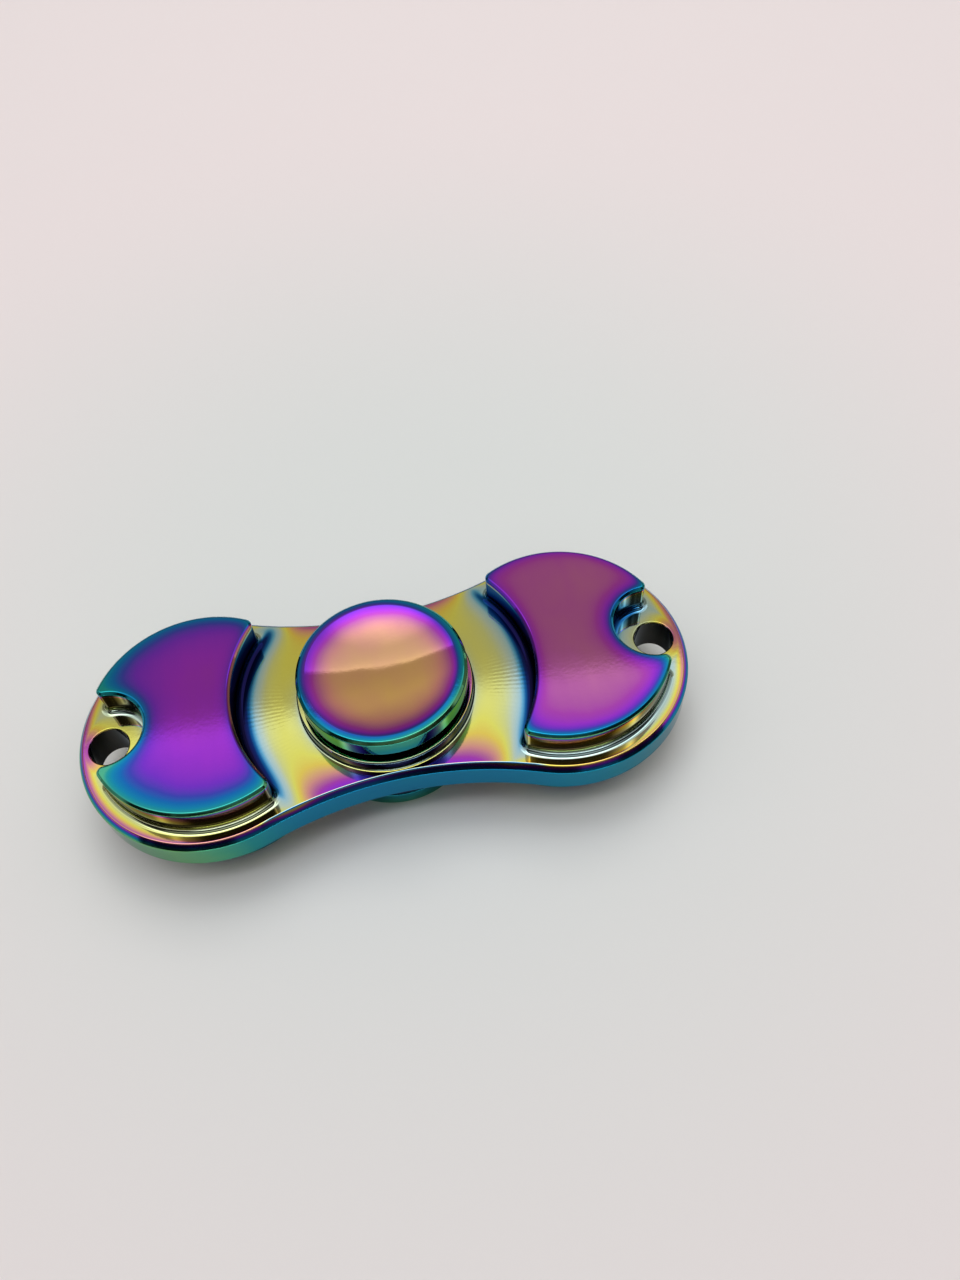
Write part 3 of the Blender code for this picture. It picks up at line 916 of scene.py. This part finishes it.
    # The plate's side, and the dark line along its upper and lower edges
    side = (1.0 - x.rise(-24.0, -9.0)) * 0.120 + x.rise(8.0, 28.0) * 0.03 + SIDE_FILM
    drop = 1.0 - height.rise(SIDE_HALF_HEIGHT, PLATE_HALF_THICKNESS)
    rim_line = 1.0 - abs(from_edge - PLATE_CHAMFER).rise(0.03, 0.13)
    rim_line = rim_line * (1.0 - abs(height - PLATE_HALF_THICKNESS).rise(0.08, 0.14))
    rim_line = rim_line * (1.0 - on_lobe * 0.8)
    return face.mix(side, drop).mix(RIM_LINE_FILM, rim_line).at_least(0.0).at_most(1.0)


def body_painted_shade(x, y, z):
    """Share of painted shade, a dark metal colour, in the eyes and on the weights' walls; the left-hand
    walls take more of it than the right-hand ones.
    """
    height = abs(z)
    # Painted shade down the eyes' bores
    eye = 1.0 - (abs(x) - EYE_CENTRE_X).length(y).rise(EYE_RADIUS, EYE_RADIUS + 0.08)
    eye = eye * (1.0 - height.rise(PLATE_HALF_THICKNESS - 0.2, PLATE_HALF_THICKNESS))
    # Painted shade on the weights' walls, 0.84 of the dark colour on the left falling to 0.40 on the
    # right
    wall = height.rise(PLATE_HALF_THICKNESS + 0.3, PLATE_HALF_THICKNESS + 1.2)
    wall = wall * (1.0 - height.rise(PAD_TOP_Z - 3.0 * PAD_EDGE, PAD_TOP_Z - 2.0 * PAD_EDGE))
    wall = wall * x.length(y).rise(BOSS_RADIUS + 0.5, BOSS_RADIUS + 1.0)
    return eye + wall * (0.84 - x.rise(-4.0, 4.0) * 0.44)


def cap_bare(x, y, z):
    """1 on the spigot and screw or tapped hole that sit in the bearing."""
    return 1.0 - abs(z).rise(SHOULDER_Z - 0.1, SHOULDER_Z + 0.1)


def cap_thickness(x, y, z):
    """Film thickness over a finger cap: gold in the dish, purple near its rim, teal outside."""
    radius = x.length(y)
    height = abs(z)
    top = ((radius / CAP_RIM_INNER_RADIUS) ** 5.5) * 0.26 + DISH_FILM
    top = top - x.at_least(-1.0) * 0.0020 + y.at_least(-2.0).at_most(4.0) * 0.0040
    top = top + radius.rise(7.4, 8.3) * (x * 0.006 - y * 0.007 + 0.03)
    below = CAP_SIDE_FILM - (CAP_TOP_Z - height).rise(0.5, 3.0) * 0.06
    under = (CAP_TOP_Z - height).rise(CAP_DISH_DEPTH + 0.1, CAP_DISH_DEPTH + 0.4)
    outside = radius.rise(CAP_RADIUS - 0.12, CAP_RADIUS - 0.02)
    return top.mix(below, outside).mix(below, under).at_least(0.0).at_most(1.0)


def body_ripples(x, y, z):
    """Faint radial milling marks on the valley floors between the boss and the weights."""
    radius = x.length(y)
    valley = radius.rise(10.5, 12.0) * (1.0 - radius.rise(14.6, 15.8))
    marks = (y.math("ARCTAN2", x) * RIPPLE_COUNT).math("SINE")
    return marks * valley * (0.24 - abs(y).rise(3.0, 8.0) * 0.24)


def cap_ripples(x, y, z):
    """Slow waves left in the dish by hand polishing."""
    return ((x * 1.7 + y * 0.8).math("SINE") + (x * -0.7 + y * 2.1).math("SINE")) * 0.7


# ---------------------------------------------------------------- steels

def steel_material(name, colour, roughness, grain):
    """Turned steel: concentric tool marks, faint blotches and a soft sheen."""
    material, tree, shader, coordinates = new_material(name)
    x, y, z = components(tree, coordinates, 1.0 / MM)
    marks = (x.length(y) * grain + z * grain).math("SINE")
    cloud = noise(tree, coordinates, STEEL_CLOUD_SCALE)
    shade = marks * 0.04 + cloud * 0.25 + 0.37
    dark = tuple(0.72 * value for value in colour)
    tree.links.new(ramp(tree, shade, ((0.0, dark), (1.0, colour))), shader.inputs["Base Color"])
    shader.inputs["Metallic"].default_value = 1.0
    tree.links.new((cloud * 0.12 + roughness).socket, shader.inputs["Roughness"])
    bump(tree, shader, marks + cloud, STEEL_BUMP)
    return material


# ---------------------------------------------------------------- assembling the pieces

def show(piece, body, node, material):
    piece.data.materials.append(material)
    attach(piece, body)
    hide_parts(node)


def build_object():
    show(make_body(), "rotor", "spinner_body",
         plated_material("body_plating", body_thickness, body_painted_shade, body_ripples, BODY_POLISH))
    cap_plating = plated_material("cap_plating", cap_thickness, cap_bare, cap_ripples, CAP_POLISH)
    show(make_top_cap(), "hub", "finger_cap_top", cap_plating)
    show(make_bottom_cap(), "hub", "finger_cap_bottom", cap_plating)
    ring_steel = steel_material("ground_ring_steel", (0.62, 0.62, 0.64), 0.16, 90.0)
    show(make_outer_ring(), "rotor", "bearing_outer_ring", ring_steel)
    show(make_inner_ring(), "hub", "bearing_inner_ring", ring_steel)
    cage_steel = steel_material("pressed_cage_steel", (0.52, 0.50, 0.46), 0.32, 60.0)
    show(make_cage(), "cage", "bearing_cage", cage_steel)
    ball_steel = steel_material("polished_ball_steel", (0.70, 0.70, 0.72), 0.06, 0.0)
    for number in range(1, BALL_COUNT + 1):
        show(make_ball(number), f"ball_{number:02d}", f"bearing_ball_{number:02d}",
             ball_steel)
    shield_steel = steel_material("pressed_shield_steel", (0.58, 0.58, 0.60), 0.26, 70.0)
    clip_steel = steel_material("spring_clip_steel", (0.45, 0.45, 0.47), 0.30, 50.0)
    for label, side in (("top", 1), ("bottom", -1)):
        show(make_shield(f"dust_shield_{label}", side), "rotor", f"bearing_shield_{label}",
             shield_steel)
        show(make_clip(f"spring_clip_{label}", side), "rotor", f"shield_clip_{label}",
             clip_steel)


# ---------------------------------------------------------------- stage, light and camera

FLOOR_SIZE = 3.0
FLOOR_NEAR = (0.722, 0.727, 0.699)
FLOOR_FAR = (0.835, 0.737, 0.722)
FLOOR_ROUGHNESS = 0.65
FLOOR_GLOSS = 0.2


def make_floor():
    """Pale matt table top, a touch warmer away from the object."""
    bm = bmesh.new()
    bmesh.ops.create_grid(bm, x_segments=8, y_segments=8, size=FLOOR_SIZE / 2)
    mesh = bpy.data.meshes.new("table_top")
    bm.to_mesh(mesh)
    bm.free()
    floor = bpy.data.objects.new("table_top", mesh)
    bpy.context.scene.collection.objects.link(floor)
    material, tree, shader, coordinates = new_material("matt_table")
    x, y, z = components(tree, coordinates, 1.0 / MM)
    away = (x - 8.0).length(y - 16.0).rise(20.0, 110.0)
    colours = ramp(tree, away, ((0.0, FLOOR_NEAR), (1.0, FLOOR_FAR)))
    tree.links.new(colours, shader.inputs["Base Color"])
    shader.inputs["Roughness"].default_value = FLOOR_ROUGHNESS
    shader.inputs["Specular IOR Level"].default_value = FLOOR_GLOSS
    mesh.materials.append(material)


# Radiance above and below the dome's long ceiling edge, and how that edge runs
CEILING_LIGHT = (0.93, 0.96, 1.00)
WALL_LIGHT = (0.53, 0.50, 0.42)
EDGE_SLOPE = 1.659
EDGE_TURN = 0.096
STRIP_LIGHT = 2.6
WINDOW_LIGHT = 4.0


def make_sky():
    """Soft studio dome: a ceiling with one straight edge, a strip, a low window, a dim front."""
    world = bpy.data.worlds.new("studio_dome")
    bpy.context.scene.world = world
    world.use_nodes = True
    tree = world.node_tree
    direction = tree.nodes.new("ShaderNodeTexCoord").outputs["Generated"]
    x, y, z = components(tree, direction)
    above_edge = z - y * EDGE_SLOPE - x * EDGE_TURN
    ceiling = above_edge.rise(-0.014, 0.014)
    band = (above_edge - 0.01).fade(0.045)
    zenith = (z - x * 0.10).rise(0.90, 0.97)
    window = z.rise(0.0, 0.03) * (1.0 - z.rise(0.09, 0.14)) * (-y).rise(0.85, 0.95)
    strip = (-(((y + 0.13) / 0.05) ** 2.0)).exp() * (1.0 - abs(x).rise(0.5, 0.8)) * z.rise(0.4, 0.6)
    patches = noise(tree, direction, 3.0).rise(0.50, 0.72)
    dim = (-y).rise(0.22, 0.36) * (0.95 - patches * 0.35)
    dim = dim * (1.0 - (-y).rise(0.5, 0.7) * z.rise(0.42, 0.55) * 0.6)
    low = (-(((z - 0.75) / 0.06) ** 2.0)).exp()
    lit = ceiling * (band * 0.38 + zenith * 1.05 - 0.05) + low * 0.22 + 0.97
    lit = lit * (z.rise(0.50, 0.76) * 0.42 + 0.58) * (z.rise(-0.1, 0.45) * 0.5 + 0.5)
    gain = lit * (1.0 - dim) + strip * STRIP_LIGHT + window * WINDOW_LIGHT
    colour = tree.nodes.new("ShaderNodeCombineColor")
    for i in range(3):
        level = (ceiling * (CEILING_LIGHT[i] - WALL_LIGHT[i]) + WALL_LIGHT[i]) * gain
        tree.links.new(level.socket, colour.inputs[i])
    tree.links.new(colour.outputs[0], tree.nodes["Background"].inputs["Color"])


# Metres and watts
PANEL_SIZE = 0.30
PANEL_ENERGY = 0.85
PANEL_PLACE = (0.06, 0.24, 0.52)


def make_key():
    """Large soft panel, up and behind, that lays the object's shadow forward."""
    data = bpy.data.lights.new("soft_panel", "AREA")
    data.shape = "RECTANGLE"
    data.size = PANEL_SIZE
    data.size_y = PANEL_SIZE
    data.energy = PANEL_ENERGY
    panel = bpy.data.objects.new("soft_panel", data)
    panel.location = PANEL_PLACE
    towards_object = Vector((0.0, 0.0, 0.0)) - panel.location
    panel.rotation_euler = towards_object.to_track_quat("-Z", "Y").to_euler()
    panel.visible_glossy = False
    bpy.context.scene.collection.objects.link(panel)


# Metres, degrees and millimetres
CAMERA_PLACE = (0.002683, -0.059428, 0.105937)
CAMERA_TILT = (33.437, 2.661, -11.596)
CAMERA_LENS = 29.573
CAMERA_SENSOR = 36.0
CAMERA_CLIP_START = 0.005


def make_camera():
    """The photograph's viewpoint, near and above the object's front."""
    data = bpy.data.cameras.new("viewpoint")
    data.lens = CAMERA_LENS
    data.sensor_width = CAMERA_SENSOR
    data.clip_start = CAMERA_CLIP_START
    camera = bpy.data.objects.new("viewpoint", data)
    camera.location = CAMERA_PLACE
    camera.rotation_euler = [math.radians(angle) for angle in CAMERA_TILT]
    bpy.context.scene.collection.objects.link(camera)
    bpy.context.scene.camera = camera


build_object()
make_floor()
make_sky()
make_key()
make_camera()
bpy.context.scene.view_settings.view_transform = "Standard"
